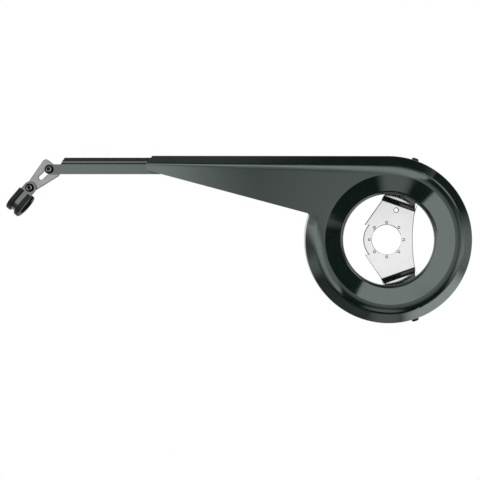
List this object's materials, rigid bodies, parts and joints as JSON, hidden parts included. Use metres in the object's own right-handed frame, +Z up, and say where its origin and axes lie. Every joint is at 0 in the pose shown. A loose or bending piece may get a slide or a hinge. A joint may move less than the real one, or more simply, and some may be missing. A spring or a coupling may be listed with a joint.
{
  "type": "bicycle chain guard",
  "caption": "Moulded chain guard: dished ring with a tapered blade and a tail strip, a pressed bottom-bracket bracket, and a slotted link with a lined stay clip.",
  "frame": {"origin": "centre of the bracket's bore, on the bracket's rear face", "axes": "+X forward, away from the tail strip; +Y inward, to the bicycle's frame; +Z up"},
  "size_m": [0.55, 0.0356, 0.197],
  "materials": {
    "guard_plastic": "gloss moulded plastic, near black",
    "tail_plastic": "satin moulded plastic, near black",
    "bracket_steel": "bright zinc plate",
    "link_steel": "satin zinc plate",
    "strap_steel": "satin zinc plate",
    "nut_steel": "zinc plate",
    "black_steel": "black oxide",
    "liner_rubber": "matt moulded rubber"
  },
  "bodies": {
    "guard": {"guard_shell": "guard_plastic", "tail_extension": "tail_plastic", "bracket_plate": "bracket_steel", "rim_screw_upper": "black_steel", "rim_screw_lower": "black_steel"},
    "tail_pivot": {"tail_screw": "black_steel", "tail_washer": "black_steel", "tail_nut": "nut_steel"},
    "link": {"slotted_link": "link_steel", "clip_screw": "black_steel", "clip_washer": "black_steel", "clip_nut": "nut_steel"},
    "clip": {"clip_strap": "strap_steel", "clip_liner": "liner_rubber"}
  },
  "joints": [
    {"name": "link_swivel", "type": "hinge", "parent": "guard", "child": "tail_pivot", "pos_m": [-0.3984, -0.0157, 0.0826], "axis": [0, 1, 0], "range_deg": [-60, 60]},
    {"name": "link_slide", "type": "slide", "parent": "tail_pivot", "child": "link", "axis": [0.7266, 0, 0.6871], "range_m": [0, 0.014]},
    {"name": "clip_swivel", "type": "hinge", "parent": "link", "child": "clip", "pos_m": [-0.42136, -0.0157, 0.06089], "axis": [0, 1, 0], "range_deg": [-60, 60]}
  ]
}
